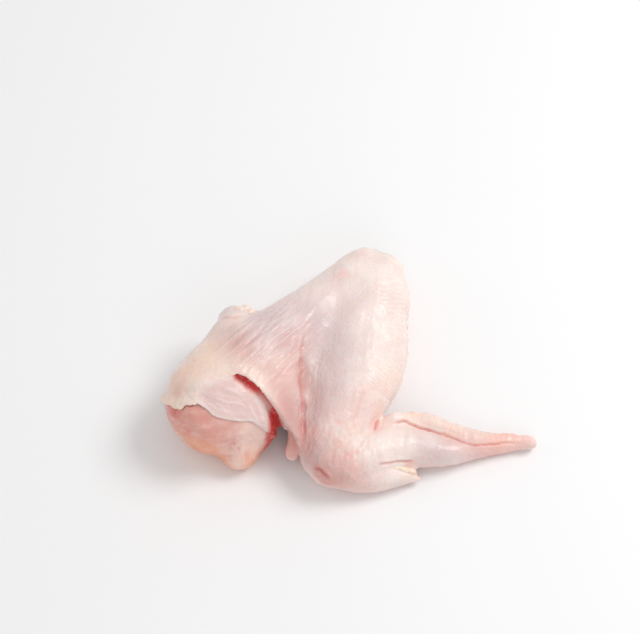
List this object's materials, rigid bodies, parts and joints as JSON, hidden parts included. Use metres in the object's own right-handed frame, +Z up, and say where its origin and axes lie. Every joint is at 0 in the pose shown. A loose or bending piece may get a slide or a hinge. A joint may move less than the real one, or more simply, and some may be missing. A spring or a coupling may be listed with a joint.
{
  "type": "raw chicken wing",
  "caption": "Whole raw chicken wing lying folded: drumette with bare flesh at its cut shoulder end, forearm, the skin web between them, thumb and pointed tip.",
  "frame": {"origin": "middle of the wing's box, on the surface it rests on", "axes": "+Z up from the table, +X towards the pointed wing tip, +Y towards the elbow"},
  "size_m": [0.134, 0.0956, 0.0355],
  "materials": {
    "chicken_skin": "moist raw skin, pale pink and cream"
  },
  "bodies": {
    "root": {"chicken_wing": "chicken_skin"}
  },
  "joints": []
}
